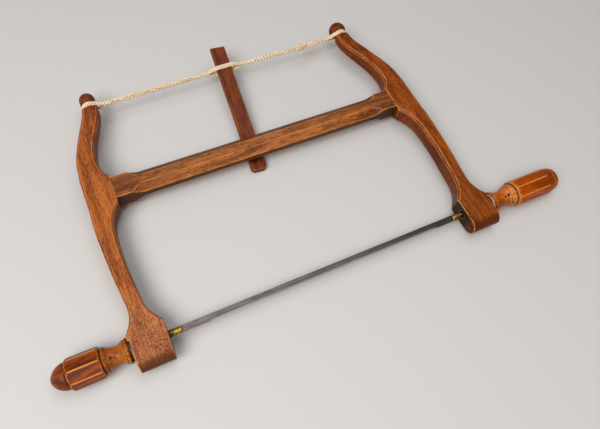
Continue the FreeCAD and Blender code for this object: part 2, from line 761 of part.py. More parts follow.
faults = []
for item in doc.Objects:
    if "Invalid" in item.State or "Error" in item.State:
        faults.append(item.Name + " state " + str(item.State))
for node in NODES:
    shape = node.Shape
    if shape.isNull() or not shape.isValid() or len(shape.Solids) != 1:
        faults.append(node.Label + " shape, solids %d" % len(shape.Solids))
for node, length, radius in LENGTHS:
    want = math.pi * radius ** 2 * length
    ratio = node.Shape.Volume / want
    print(node.Label, "length mm %.1f" % length, "volume ratio %.4f" % ratio)
    if abs(ratio - 1) > 0.01:
        faults.append(node.Label + " volume")
if faults:
    raise RuntimeError("; ".join(faults))

box = FreeCAD.BoundBox()
for node in NODES:
    box.add(node.Shape.BoundBox)
print("box", [round(v, 3) for v in (box.XMin, box.XMax, box.YMin, box.YMax, box.ZMin, box.ZMax)])

os.makedirs("parts", exist_ok=True)
for node in NODES:
    node.Shape.exportStep("parts/" + node.Label + ".step")
    low = node.Shape.BoundBox.ZMin
    print("%-20s volume %9.1f  lowest z %7.3f" % (node.Label, node.Shape.Volume, low))
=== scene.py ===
import math
import random

import bmesh
import bpy
import numpy as np
from mathutils import Matrix, Vector

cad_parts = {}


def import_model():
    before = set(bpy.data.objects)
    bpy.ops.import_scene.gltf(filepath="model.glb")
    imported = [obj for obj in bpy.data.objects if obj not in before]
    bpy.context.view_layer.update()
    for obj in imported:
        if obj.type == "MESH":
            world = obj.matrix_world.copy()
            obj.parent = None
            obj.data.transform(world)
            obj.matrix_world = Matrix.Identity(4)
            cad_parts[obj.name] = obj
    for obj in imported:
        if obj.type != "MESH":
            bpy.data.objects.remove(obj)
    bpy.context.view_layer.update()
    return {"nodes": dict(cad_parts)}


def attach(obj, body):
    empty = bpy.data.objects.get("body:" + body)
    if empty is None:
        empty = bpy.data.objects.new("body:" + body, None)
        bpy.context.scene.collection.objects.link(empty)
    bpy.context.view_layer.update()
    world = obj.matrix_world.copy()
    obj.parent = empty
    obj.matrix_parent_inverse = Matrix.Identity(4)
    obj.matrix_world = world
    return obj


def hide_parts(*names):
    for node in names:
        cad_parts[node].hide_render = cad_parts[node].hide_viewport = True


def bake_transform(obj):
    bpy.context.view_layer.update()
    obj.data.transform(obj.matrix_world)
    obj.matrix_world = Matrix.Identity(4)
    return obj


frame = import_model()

# Bow saw lying on a pale floor. Everything is measured in the saw's own frame, in millimetres:
# X along the blade, Y from the blade to the horns, Z square to the frame, zero at the middle of
# the blade's axis. SAW takes that frame to the row frame, in metres: the saw lies tipped back a
# little, on its two handles and the toggle's tip.

NODES = frame["nodes"]
MM = 0.001
TIP_BACK = math.radians(1.64)
HOME = Vector((-12.25, -139.52, 14.30))
SAW = Matrix.Scale(MM, 4) @ Matrix.Translation(HOME) @ Matrix.Rotation(TIP_BACK, 4, "X")
PIN_X = 152.5  # the blade's pins, either side of the middle
TOOTH_PITCH = 2.1

# The cord runs a little uphill to the right. Its own frame has X along it, zero at its middle.
HORN_X = 154.0  # the horns' axes
THROAT_X = 137.0  # where a horn's loop closes and the twist begins
SPLIT_X = 22.0  # where the twist ends and the strands part round the toggle
CORD_Y = 271.25
CORD_RISE = 5.5
CORD_LEAN = math.atan2(CORD_RISE, 2 * HORN_X)
CORD = Matrix.Translation((0, CORD_Y, 0)) @ Matrix.Rotation(CORD_LEAN, 4, "Z")

STRING_R = 0.95
STRING_PITCH = 3.4  # one turn of the string's two plies
BUNDLE_R = 1.62  # from the cord's middle line to each string in the twist
FAN = math.radians(54)  # between neighbouring strings of a ply, round the cord
BAND_STEP = 1.75  # between neighbouring strings where they lie side by side
TURNS = 4  # of the cord, from the toggle to a horn
TOGGLE_FACE = 3.02  # half the toggle's thickness
TOGGLE_SLOPE = math.tan(math.radians(6.318))
GROOVE_R = 6.0  # of the horn, under its knob
LOOP_R = GROOVE_R + STRING_R
KNOT_X = 103.0
KNOT_R = 3.45
STEP = 0.5  # between two rings of a string's mesh

# Dirt and shade on the wood, as linear colours.
PORE = (0.020, 0.009, 0.005, 1.0)
SIDE_SHADE = (0.022, 0.006, 0.002, 1.0)
EDGE_SHADE = (0.020, 0.008, 0.003, 1.0)
GREASE_AND_SHADE = (0.012, 0.008, 0.006, 1.0)
CORNER_DIRT_AND_SHADE = (0.014, 0.008, 0.006, 1.0)
RING_DIRT = (0.020, 0.011, 0.007, 1.0)
PEG_SPOT = (0.016, 0.011, 0.009, 1.0)


def srgb(code):
    """Linear colour from a #rrggbb word."""
    parts = [int(code[i:i + 2], 16) / 255 for i in (1, 3, 5)]
    linear = [c / 12.92 if c <= 0.04045 else ((c + 0.055) / 1.055) ** 2.4 for c in parts]
    return (*linear, 1.0)


def add_object(name, data):
    obj = bpy.data.objects.new(name, data)
    bpy.context.scene.collection.objects.link(obj)
    return obj


# ---------------------------------------------------------------- shader graphs

class Graph:
    """Short words for building one material's nodes; distances inside are millimetres."""

    def __init__(self, name):
        self.mat = bpy.data.materials.new(name)
        self.mat.use_nodes = True
        self.nodes = self.mat.node_tree.nodes
        self.links = self.mat.node_tree.links
        self.bsdf = self.nodes["Principled BSDF"]
        coords = self.node("ShaderNodeTexCoord")
        place = self.node("ShaderNodeMapping")
        place.inputs["Scale"].default_value = (1 / MM, 1 / MM, 1 / MM)
        place.inputs["Rotation"].default_value = (-TIP_BACK, 0, 0)
        place.inputs["Location"].default_value = -(Matrix.Rotation(-TIP_BACK, 3, "X") @ HOME)
        self.link(coords.outputs["Object"], place.inputs["Vector"])
        self.saw = place.outputs["Vector"]
        self.uv = coords.outputs["UV"]
        self.facing = coords.outputs["Normal"]
        split = self.node("ShaderNodeSeparateXYZ")
        self.link(self.saw, split.inputs[0])
        self.x, self.y, self.z = split.outputs

    def node(self, kind, **settings):
        made = self.nodes.new(kind)
        for key, value in settings.items():
            setattr(made, key, value)
        return made

    def link(self, source, target):
        self.links.new(source, target)

    def feed(self, target, value):
        if isinstance(value, bpy.types.NodeSocket):
            self.link(value, target)
        else:
            target.default_value = value

    def math(self, op, a, b=0.0, clamp=False):
        made = self.node("ShaderNodeMath", operation=op, use_clamp=clamp)
        self.feed(made.inputs[0], a)
        self.feed(made.inputs[1], b)
        return made.outputs[0]

    def times(self, a, b):
        return self.math("MULTIPLY", a, b)

    def plus(self, a, b):
        return self.math("ADD", a, b)

    def minus(self, a, b):
        return self.math("SUBTRACT", a, b)

    def vector(self, op, a, b=(0, 0, 0)):
        made = self.node("ShaderNodeVectorMath", operation=op)
        self.feed(made.inputs[0], a)
        self.feed(made.inputs[1], b)
        return made.outputs["Value" if op in ("DISTANCE", "DOT_PRODUCT") else "Vector"]

    def noise(self, vec, stretch, detail=2.0, rough=0.5, warp=0.0, seed=0.0):
        """Noise with its features about one unit over stretch long in each direction."""
        scaled = self.vector("MULTIPLY", vec, stretch)
        moved = self.vector("ADD", scaled, (seed, seed * 1.7, seed * 2.3))
        made = self.node("ShaderNodeTexNoise")
        self.link(moved, made.inputs["Vector"])
        made.inputs["Scale"].default_value = 1.0
        made.inputs["Detail"].default_value = detail
        made.inputs["Roughness"].default_value = rough
        made.inputs["Distortion"].default_value = warp
        return made.outputs["Fac"]

    def step(self, value, low, high, out_low=0.0, out_high=1.0):
        """Smooth step: out_low up to low, out_high from high on."""
        made = self.node("ShaderNodeMapRange", interpolation_type="SMOOTHSTEP")
        self.feed(made.inputs["Value"], value)
        made.inputs["From Min"].default_value = low
        made.inputs["From Max"].default_value = high
        made.inputs["To Min"].default_value = out_low
        made.inputs["To Max"].default_value = out_high
        return made.outputs["Result"]

    def mix(self, fac, a, b):
        """Colour a where fac is 0, b where it is 1."""
        made = self.node("ShaderNodeMix", data_type="RGBA")
        self.feed(made.inputs["Factor"], fac)
        self.feed(made.inputs["A"], srgb(a) if isinstance(a, str) else a)
        self.feed(made.inputs["B"], srgb(b) if isinstance(b, str) else b)
        return made.outputs["Result"]

    def ramp(self, fac, stops):
        """Colours along 0 to 1; stops are (place, #rrggbb)."""
        made = self.node("ShaderNodeValToRGB")
        self.link(fac, made.inputs["Fac"])
        band = made.color_ramp
        band.interpolation = "EASE"
        while len(band.elements) < len(stops):
            band.elements.new(0.5)
        for element, (place, code) in zip(band.elements, stops):
            element.position = place
            element.color = srgb(code)
        return made.outputs["Color"]

    def edges(self, radius, low, high):
        """1 on sharp edges, 0 on flats; also the rounded normal that softens those edges."""
        round_off = self.node("ShaderNodeBevel", samples=8)
        round_off.inputs["Radius"].default_value = radius * MM
        geometry = self.node("ShaderNodeNewGeometry")
        agree = self.vector("DOT_PRODUCT", round_off.outputs["Normal"], geometry.outputs["Normal"])
        sharp_edges = self.step(self.minus(1.0, agree), low, high)
        return sharp_edges, round_off.outputs["Normal"]

    def crevice(self, reach):
        """1 deep in corners, 0 in the open."""
        corner = self.node("ShaderNodeAmbientOcclusion", samples=8)
        corner.inputs["Distance"].default_value = reach * MM
        return self.math("SUBTRACT", 1.0, corner.outputs["AO"], clamp=True)

    def bump(self, height, strength, depth, normal=None):
        made = self.node("ShaderNodeBump")
        made.inputs["Strength"].default_value = strength
        made.inputs["Distance"].default_value = depth * MM
        self.link(height, made.inputs["Height"])
        if normal is not None:
            self.link(normal, made.inputs["Normal"])
        return made.outputs["Normal"]

    def finish(self, color, rough, normal=None, metallic=0.0, **inputs):
        self.feed(self.bsdf.inputs["Base Color"], color)
        self.feed(self.bsdf.inputs["Roughness"], rough)
        self.feed(self.bsdf.inputs["Metallic"], metallic)
        if normal is not None:
            self.link(normal, self.bsdf.inputs["Normal"])
        for word, value in inputs.items():
            self.feed(self.bsdf.inputs[word.replace("_", " ")], value)
        return self.mat


def grain_frame(g, axis, lean=0.0):
    """Coordinates whose first direction runs with the grain."""
    source = g.saw
    if lean:
        turn = g.node("ShaderNodeVectorRotate", rotation_type="Z_AXIS")
        g.link(source, turn.inputs["Vector"])
        turn.inputs["Angle"].default_value = math.radians(lean)
        source = turn.outputs["Vector"]
    if axis == "x":
        return source
    split = g.node("ShaderNodeSeparateXYZ")
    g.link(source, split.inputs[0])
    join = g.node("ShaderNodeCombineXYZ")
    for target, made in zip(join.inputs, (split.outputs[1], split.outputs[0], split.outputs[2])):
        g.link(made, target)
    return join.outputs[0]


def wood(name, axis, tones, edge, along=None, speck=0.5, grime=0.5, rough=0.42, coat=0.04,
         gloss=0.14, seed=0.0, lean=0.0, wear_and_highlight_band=(0.006, 0.048), edge_mm=1.5, rings=(), spots=(),
         figure=1.0, sides=0.55, upper=0.0, beneath=0.0, mottle=0.0, ends=None, stem_x=0.0,
         drift=50.0, ridges=None):
    """Old oiled wood, its grain along the given axis and turned by lean degrees.

    tones are (dark, middle, light) and edge is the colour of edges lightened by rubbing and
    partly a painted highlight, which edge_mm and wear_and_highlight_band find. along holds
    (direction, stops): (place, colour) stops that tint the wood from end to end, and drift is
    how far the tint wanders. speck is for pores, grime for dark clouds and figure for the
    grain. sides paints shade on what faces sideways, upper on what faces the horns and beneath
    on what faces the blade. mottle adds coarse specks below the y given in ends, and when ends
    is given the rounded foot gets painted shade too. stem_x is where a stem leaves the wood;
    round it the inner face is darkened, partly by grease and partly by painted shade. rings
    are dark turned lines at those x, and spots are dark dots (x, y, z, r). ridges are the
    edges of an eight-sided barrel, lightened by rubbing and partly a painted highlight: the x
    where they start, the x where they end and the angle of one of them, in degrees from the
    front.
    """
    g = Graph(name)
    dark, middle, light = (srgb(tone) for tone in tones)
    edge = srgb(edge)
    grain = grain_frame(g, axis, lean)
    sway = g.noise(grain, (0.012, 0.05, 0.05), 2.0, seed=seed)
    bent = g.vector("MULTIPLY", g.vector("ADD", sway, (-0.5,) * 3), (0, 14, 14))
    wavy = g.vector("ADD", grain, bent)
    bands = g.noise(wavy, (0.009, 0.17, 0.17), 2.0, 0.55, seed=seed + 3)
    fibre = g.noise(wavy, (0.04, 0.8, 0.8), 3.0, 0.6, seed=seed + 5)
    fine = g.noise(wavy, (0.16, 2.2, 2.2), 2.0, 0.6, seed=seed + 7)
    cloud = g.noise(grain, (0.022, 0.07, 0.07), 3.0, 0.62, 0.4, seed=seed + 11)
    flake = g.noise(wavy, (0.28, 0.8, 0.8), 2.0, 0.65, seed=seed + 13)
    edge_breakup = g.noise(grain, (0.09, 0.5, 0.5), 2.0, seed=seed + 17)
    blotch = g.noise(grain, (0.06, 0.26, 0.26), 3.0, 0.62, 0.6, seed=seed + 19)

    # Grain and the tint from end to end.
    color = g.mix(g.step(bands, 0.40, 0.60), dark, light)
    color = g.mix(0.40, color, middle)
    if along:
        direction, stops = along
        low = stops[0][0]
        high = stops[-1][0]
        source = {"x": g.x, "y": g.y}[direction]
        place = g.step(g.plus(source, g.times(g.minus(cloud, 0.5), drift)), low, high)
        place.node.interpolation_type = "LINEAR"
        tint = g.ramp(place, [((at - low) / (high - low), code) for at, code in stops])
        color = g.mix(0.55, color, tint)
    color = g.mix(g.step(fibre, 0.47, 0.64, 0.0, 0.50 * figure), color, dark)
    color = g.mix(g.step(fine, 0.50, 0.66, 0.0, 0.38 * figure), color, light)

    # Grime, pores, the mottled foot and painted shade on the rounded foot.
    color = g.mix(g.step(cloud, 0.47, 0.66, 0.0, 0.62 * grime), color, dark)
    color = g.mix(g.step(blotch, 0.50, 0.64, 0.0, 0.42 * grime), color, dark)
    pores = g.times(g.step(flake, 0.53, 0.62), speck)
    patchy = g.times(pores, g.step(cloud, 0.34, 0.58, 0.45, 1.0))
    if ends is not None:
        grit = g.noise(g.saw, (1.1, 1.1, 0.7), 3.0, 0.7, seed=seed + 23)
        foot = g.step(g.y, ends, ends + 25, mottle, 0.0)
        patchy = g.math("ADD", patchy, g.times(g.step(grit, 0.52, 0.64), foot), clamp=True)
        # Painted shade on the rounded foot, below the flat front.
        rounded_foot_shade = g.step(g.plus(g.y, g.times(blotch, 8.0)), -15.0, -9.0, 0.72, 0.0)
        color = g.mix(rounded_foot_shade, color, dark)
    color = g.mix(patchy, color, PORE)

    # Faces that lie in shade.
    face = g.node("ShaderNodeSeparateXYZ")
    g.link(g.facing, face.inputs[0])
    face_x, face_y, face_z = face.outputs
    if sides:
        turned = g.step(g.math("ABSOLUTE", face_z), 0.10, 0.95, sides, 0.0)
        color = g.mix(turned, color, g.mix(0.55, dark, SIDE_SHADE))
    if upper:
        color = g.mix(g.step(face_y, 0.25, 0.6, 0.0, upper), color,
                      g.mix(0.5, dark, EDGE_SHADE))
    if beneath:
        color = g.mix(g.step(face_y, -0.95, -0.80, beneath, 0.0), color,
                      g.mix(0.5, dark, EDGE_SHADE))
    # Round the stem the inner face is darkened, partly by grease and partly by painted shade.
    if stem_x:
        near = g.vector("DISTANCE", g.vector("MULTIPLY", g.saw, (1, 1, 0.8)), (stem_x, 3.0, 0))
        near = g.step(g.plus(near, g.times(blotch, 12.0)), 17.0, 27.0, 0.92, 0.0)
        inner = g.step(g.math("ABSOLUTE", face_x), 0.6, 0.9)
        color = g.mix(g.times(near, inner), color, GREASE_AND_SHADE)

    # Edges lightened by rubbing and partly a painted highlight; dirt and painted shade in the
    # corners.
    sharp_edges, soft = g.edges(edge_mm, *wear_and_highlight_band)
    edge_wear_and_highlight = g.times(sharp_edges, g.step(edge_breakup, 0.36, 0.56, 0.30, 1.0))
    color = g.mix(g.times(edge_wear_and_highlight, 0.9), color, edge)
    # Ridges of the eight-sided barrels, lightened by rubbing and partly a painted highlight.
    if ridges:
        start, end, clock = ridges
        around = g.math("ARCTAN2", g.times(g.y, -1.0), g.z)
        eighths = g.minus(g.math("DIVIDE", around, math.pi / 4), clock / 45.0)
        line = g.step(g.math("PINGPONG", eighths, 0.5), 0.03, 0.10, 1.0, 0.0)
        span = g.times(g.step(g.x, start - 1.5, start + 1.5),
                       g.step(g.x, end - 1.5, end + 1.5, 1.0, 0.0))
        ridge_wear_and_highlight = g.step(cloud, 0.34, 0.60, 0.25, 0.60)
        color = g.mix(g.times(g.times(line, span), ridge_wear_and_highlight), color, edge)
    # Dirt and painted shade in corners and close to the floor.
    color = g.mix(g.times(g.step(g.crevice(9.0), 0.24, 0.70), 0.92), color, CORNER_DIRT_AND_SHADE)

    # Relief, turned lines and peg holes.
    height = g.plus(g.times(fibre, 0.6), g.times(fine, 0.3))
    height = g.minus(height, g.times(pores, 0.8))
    for x in rings:
        line = g.step(g.math("ABSOLUTE", g.minus(g.x, x)), 0.10, 0.42, 1.0, 0.0)
        color = g.mix(g.times(line, 0.8), color, RING_DIRT)
        height = g.minus(height, g.times(line, 1.2))
    for x, y, z, r in spots:
        near = g.step(g.vector("DISTANCE", g.saw, (x, y, z)), r * 0.6, r * 1.3, 1.0, 0.0)
        color = g.mix(g.times(near, 0.85), color, PEG_SPOT)
        height = g.minus(height, near)
    normal = g.bump(height, 0.35, 0.25, soft)
    shine = g.plus(g.step(cloud, 0.3, 0.7, rough - 0.06, rough + 0.10), g.times(patchy, 0.25))
    return g.finish(color, shine, normal, Coat_Weight=coat, Coat_Roughness=0.25,
                    Specular_IOR_Level=gloss)


def brass(name):
    """Tarnished brass, darker towards the wood and round the blade's pin."""
    g = Graph(name)
    cloud = g.noise(g.saw, (0.35, 0.35, 0.35), 3.0, 0.65, 0.3)
    speck = g.noise(g.saw, (1.3, 1.3, 1.3), 2.0, 0.6, seed=4)
    scratch = g.noise(g.saw, (0.25, 5.0, 5.0), 2.0, 0.6, seed=9)
    color = g.mix(g.step(cloud, 0.38, 0.62), "#d2a850", "#8f6a30")
    color = g.mix(g.step(speck, 0.56, 0.72, 0.0, 0.75), color, "#4a351d")
    inner = g.step(g.math("ABSOLUTE", g.x), 148.0, 153.0)
    color = g.mix(g.times(inner, 0.75), color, "#4f3a1e")
    sharp_edges, soft = g.edges(0.35, 0.05, 0.30)
    color = g.mix(g.times(sharp_edges, 0.6), color, "#f0d183")
    flat = g.vector("ABSOLUTE", g.vector("MULTIPLY", g.saw, (1, 1, 0)))
    from_pin = g.vector("DISTANCE", flat, (PIN_X, 0, 0))
    color = g.mix(g.step(from_pin, 1.5, 2.1, 0.9, 0.0), color, "#1d150d")
    color = g.mix(g.times(g.step(g.crevice(3.0), 0.35, 0.9), 0.85), color, "#1d150d")
    tarnish = g.step(cloud, 0.36, 0.66)
    normal = g.bump(scratch, 0.25, 0.06, soft)
    return g.finish(color, g.plus(g.times(tarnish, 0.25), 0.26), normal,
                    metallic=g.minus(1.0, g.step(speck, 0.56, 0.72, 0.0, 0.6)))


def dark_steel(name, base, light, rust, rough=0.42, blade=False, rim_highlight=False):
    """Old steel. A blade has a darker right end and bright teeth. With rim_highlight the outer
    edge gets a painted highlight.
    """
    g = Graph(name)
    streak = g.noise(g.saw, (0.03, 1.6, 1.6), 3.0, 0.6)
    cloud = g.noise(g.saw, (0.08, 0.3, 0.3), 3.0, 0.65, 0.5, seed=3)
    grit = g.noise(g.saw, (1.4, 1.4, 1.4), 2.0, 0.6, seed=8)
    color = g.mix(g.step(streak, 0.3, 0.7), base, light)
    color = g.mix(g.step(cloud, 0.50, 0.72, 0.0, 0.7), color, rust)
    color = g.mix(g.step(grit, 0.58, 0.70, 0.0, 0.45), color, "#17120f")
    sharp_edges, soft = g.edges(0.3, 0.05, 0.4)
    color = g.mix(g.times(sharp_edges, 0.55), color, light)
    if blade:
        color = g.mix(g.step(g.x, -120, 150, 0.0, 0.85), color, "#241a15")
        wave = g.math("SINE", g.times(g.x, 2 * math.pi / TOOTH_PITCH))
        tick = g.step(wave, -0.3, 0.4, 0.05, 1.0)
        toothed = g.times(g.step(g.x, -120.0, -114.0), g.step(g.x, 118.0, 125.0, 1.0, 0.0))
        toothed = g.times(toothed, g.step(g.y, -1.9, -1.2, 1.0, 0.0))
        tips = g.step(g.y, -3.2, -2.9, 0.7, 0.0)
        bright = g.math("MAXIMUM", g.times(toothed, tick), tips)
        color = g.mix(g.times(bright, 0.75), color, "#b0a498")
    if rim_highlight:
        # Painted highlight: a bright band on the outer edge, only at positive x, so on the right
        # washer.
        color = g.mix(g.times(g.step(g.x, 187.8, 188.6), 0.85), color, "#cfc6a4")
    normal = g.bump(streak, 0.3, 0.05, soft)
    return g.finish(color, g.step(cloud, 0.3, 0.7, rough, rough + 0.2), normal,
                    metallic=0.4 if blade else 0.7, Specular_IOR_Level=0.35)


def string(name):
    """Two-ply string: U runs along it in millimetres, V once round it."""
    g = Graph(name)
    split = g.node("ShaderNodeSeparateXYZ")
    g.link(g.uv, split.inputs[0])
    u, v, _ = split.outputs
    lay = g.plus(g.times(u, 2 * math.pi / STRING_PITCH), g.times(v, 4 * math.pi))
    furrow = g.step(g.math("SINE", lay), -1.0, -0.2)
    hair = g.noise(g.saw, (0.7, 2.6, 2.6), 3.0, 0.7)
    cloud = g.noise(g.saw, (0.06, 0.2, 0.2), 2.0, 0.6, seed=5)
    color = g.mix(g.step(cloud, 0.38, 0.62), "#f6e2c2", "#e0c096")
    color = g.mix(g.step(hair, 0.44, 0.64), color, "#f8ead2")
    # Painted shade in the grooves between the plies, and where strings lie close together.
    color = g.mix(g.times(g.minus(1.0, furrow), 0.90), color, "#966c42")
    color = g.mix(g.times(g.step(g.crevice(1.6), 0.35, 1.0), 0.7), color, "#7e5c3a")
    height = g.plus(furrow, g.times(hair, 0.5))
    return g.finish(color, 0.88, g.bump(height, 0.7, 0.25), Sheen_Weight=0.25,
                    Sheen_Roughness=0.5)


# ---------------------------------------------------------------- materials

LEFT_CHEEK = wood(
    "left_cheek_wood", "y", ("#582408", "#a2582a", "#c4783e"), "#e08c48",
    # The lighter, pinker tint of the block at the bottom, from y -22 to 14, is partly a painted
    # sheen.
    along=("y", [(-22, "#b87248"), (14, "#bc7448"), (60, "#ac5c20"), (150, "#aa5a1c"),
                 (190, "#944614"), (255, "#7c3410"), (272, "#4e1c0a"), (290, "#3c1408")]),
    speck=0.62, grime=0.5, seed=1.0, figure=0.9, mottle=0.85, ends=22.0,
    stem_x=-155.0)
RIGHT_CHEEK = wood(
    "right_cheek_wood", "y", ("#4c1a02", "#94440a", "#bc6016"), "#e09a60",
    along=("y", [(-22, "#84400a"), (14, "#823e08"), (60, "#864008"), (150, "#90460a"),
                 (200, "#884008"), (255, "#76340c"), (272, "#4e200e"), (290, "#40190c")]),
    speck=0.62, grime=1.0, seed=21.0, rough=0.38, coat=0.06, gloss=0.10, sides=0.40, mottle=0.3,
    ends=8.0,
    stem_x=155.0)
BAR = wood(
    "bar_wood", "x", ("#4e220c", "#9a5626", "#bc7038"), "#e0903e",
    beneath=0.8, drift=26.0,
    # The darkening towards both ends, where the bar meets the cheeks, is painted shade.
    along=("x", [(-160, "#5c361c"), (-140, "#7c4c2a"), (-80, "#a66638"), (50, "#ac6a3a"),
                 (115, "#92521f"), (138, "#683414"), (152, "#3a1a0a"), (160, "#180a04")]),
    speck=0.55, grime=0.85, seed=41.0, rough=0.40, upper=0.66, sides=0.25, wear_and_highlight_band=(0.004, 0.030))
TOGGLE = wood(
    "toggle_wood", "y", ("#421808", "#682c12", "#823c18"), "#b4642e", speck=0.3, grime=0.5,
    seed=61.0, lean=5.2, rough=0.45, sides=0.0)
LEFT_HANDLE = wood(
    "left_handle_wood", "x", ("#340e02", "#803004", "#ac4e0c"), "#f09034", speck=0.35,
    grime=1.0, seed=81.0, rough=0.30, coat=0.10, gloss=0.18, sides=0.0, edge_mm=1.5,
    wear_and_highlight_band=(0.012, 0.045),
    along=("x", [(-262, "#8a3c12"), (-250, "#86380c"), (-243, "#70300c"), (-214, "#84380c"),
                 (-206, "#c06814"), (-188, "#c46c16")]),
    rings=(-192.0, -207.6), spots=((-204.0, -2.4, 8.4, 1.8),), drift=8.0,
    ridges=(-237.5, -213.0, 7.8))
RIGHT_HANDLE = wood(
    "right_handle_wood", "x", ("#5c1e00", "#a84800", "#cc6400"), "#f09440", speck=0.35,
    grime=0.75, seed=101.0, rough=0.30, coat=0.05, gloss=0.10, sides=0.0, edge_mm=1.5,
    wear_and_highlight_band=(0.012, 0.045),
    # The pale band from x 213 to 218 is a painted highlight on the collar.
    along=("x", [(188, "#b85c0c"), (200, "#bc6000"), (213, "#e09850"), (218, "#e09850"),
                 (224, "#ae4a00"), (262, "#a84600"), (280, "#b04e00")]),
    rings=(194.6, 211.6), drift=5.0, ridges=(221.0, 259.0, 0.9),
    spots=((209.5, -2.4, 8.4, 1.7), (205.9, -2.4, 8.2, 1.1)))
BRASS = brass("stem_brass")
BLADE = dark_steel("blade_steel", "#4a413d", "#857d79", "#4c3a33", blade=True)
PINS = dark_steel("pin_steel", "#6e6a63", "#9a958c", "#5b4a3c", rough=0.35)
PEGS = dark_steel("peg_steel", "#26201c", "#4a423a", "#1c1410", rough=0.5)
WASHER = dark_steel("washer_metal", "#2a2a24", "#5c5a4c", "#1e1a16", rough=0.38, rim_highlight=True)
STRING = string("string")

LOOKS = {
    "stretcher": BAR, "left_cheek": LEFT_CHEEK, "right_cheek": RIGHT_CHEEK, "toggle": TOGGLE,
    "left_handle": LEFT_HANDLE, "right_handle": RIGHT_HANDLE, "blade": BLADE,
    "left_stem": BRASS, "right_stem": BRASS, "left_blade_pin": PINS, "right_blade_pin": PINS,
    "left_handle_peg": PEGS, "right_handle_peg": PEGS, "left_washer": WASHER,
    "right_washer": WASHER, "left_cord_loop": STRING, "right_cord_loop": STRING,
    "left_cord_twist": STRING, "right_cord_twist": STRING, "cord_strand_front": STRING,
    "cord_strand_back": STRING, "cord_knot": STRING,
}


def set_material(obj, mat):
    if not obj.material_slots:
        obj.data.materials.append(mat)
    for place in obj.material_slots:
        place.material = mat


for word, mat in LOOKS.items():
    node = NODES[word]
    set_material(node, mat)
    for face in node.data.polygons:
        face.use_smooth = True
    merge = node.modifiers.new("merge", "WELD")
    merge.merge_threshold = 0.01 * MM
    crisp = node.modifiers.new("crisp", "EDGE_SPLIT")
    crisp.split_angle = math.radians(28)


# ---------------------------------------------------------------- cord

def smooth(t):
    """0 to 1 with a gentle start and end."""
    t = np.clip(t, 0.0, 1.0)
    return t * t * (3 - 2 * t)


def along_path(path):
    """Distance of each point from the path's start."""
    return np.concatenate([[0.0], np.cumsum(np.linalg.norm(np.diff(path, axis=0), axis=1))])


def bundle(index, ply, turn):
    """Place of one of the six strings across the twisted cord: three to a ply."""
    around = turn + FAN * (index - 1) + (0 if ply > 0 else math.pi)
    return BUNDLE_R * np.sin(around), BUNDLE_R * np.cos(around)


def twist_angles(xs):
    """Turn of the cord along its twisted part: it starts and ends gently."""
    rate = smooth((xs - SPLIT_X + 1.0) / 6.0) * smooth((THROAT_X + 1.0 - xs) / 6.0)
    total = np.concatenate([[0.0], np.cumsum((rate[1:] + rate[:-1]) / 2 * np.diff(xs))])
    return total / total[-1] * TURNS * 2 * math.pi


def twisted(index, ply):
    """One string from the toggle's split to the horn's throat, on the right side."""
    xs = np.linspace(SPLIT_X, THROAT_X, int((THROAT_X - SPLIT_X) / STEP) + 1)
    lag = 0.30 * np.sin(xs * 0.21 + 2.1 * index + ply)
    lag += 0.22 * np.sin(xs * 0.53 + 1.3 * index * ply)
    hold = smooth((xs - SPLIT_X) / 8.0) * smooth((THROAT_X - xs) / 8.0)
    y, z = bundle(index, ply, twist_angles(xs) + lag * hold)
    loose = 1.0 + 0.10 * hold * np.sin(xs * 0.37 + 1.9 * index + 0.7 * ply)
    return np.stack([xs, y * loose, z * loose], axis=1)


def over_toggle(index, ply):
    """One string from split to split, over one face of the toggle."""
    xs = np.linspace(-SPLIT_X, SPLIT_X, int(2 * SPLIT_X / STEP) + 1)
    rise = smooth((SPLIT_X - 0.5 - np.abs(xs - 0.6)) / (SPLIT_X - 10.8))
    y0, z0 = bundle(index, ply, 0.0)
    flat_y = ply * (index - 1) * BAND_STEP + (0.6 if ply > 0 else 0.0)
    flat_z = ply * (TOGGLE_FACE + STRING_R) + flat_y * TOGGLE_SLOPE
    y = y0 + (flat_y - y0) * rise
    z = z0 + (flat_z - z0) * rise
    return np.stack([xs, y, z], axis=1)


def round_horn(index):
    """One string from the throat round the right horn and back to the throat."""
    x_leave = THROAT_X + 0.5
    reach = math.hypot(HORN_X - x_leave, BUNDLE_R)
    slope = math.asin(LOOP_R / reach) - math.atan2(BUNDLE_R, HORN_X - x_leave)
    touch = np.array([HORN_X - LOOP_R * math.sin(slope), LOOP_R * math.cos(slope)])
    leave = np.array([x_leave, BUNDLE_R])
    leg = np.linalg.norm(touch - leave)
    count = int(leg / STEP)
    out = [leave + (touch - leave) * t for t in np.linspace(0, 1, count, endpoint=False)]
    sweep = math.pi + 2 * slope
    steps = int(LOOP_R * sweep / STEP)
    arc = []
    for t in np.linspace(0, 1, steps + 1):
        a = math.pi / 2 + slope - t * sweep
        arc.append(np.array([HORN_X + LOOP_R * math.cos(a), LOOP_R * math.sin(a)]))
    path = [np.array([THROAT_X, BUNDLE_R])] + out + arc
    path += [np.array([p[0], -p[1]]) for p in reversed(out)] + [np.array([THROAT_X, -BUNDLE_R])]
    flat = np.array(path)
    along = along_path(flat)
    ends = np.minimum(along, along[-1] - along)
    blend = smooth(ends / (leg * 0.9))
    side = np.where(along < along[-1] / 2, 1.0, -1.0)
    start_y, start_z = bundle(index, 1, 0.0)
    y = side * start_y * (1 - blend) + (index - 1) * BAND_STEP * blend
    z = flat[:, 1] + side * (start_z - BUNDLE_R) * (1 - blend)
    return np.stack([flat[:, 0], y, z], axis=1)


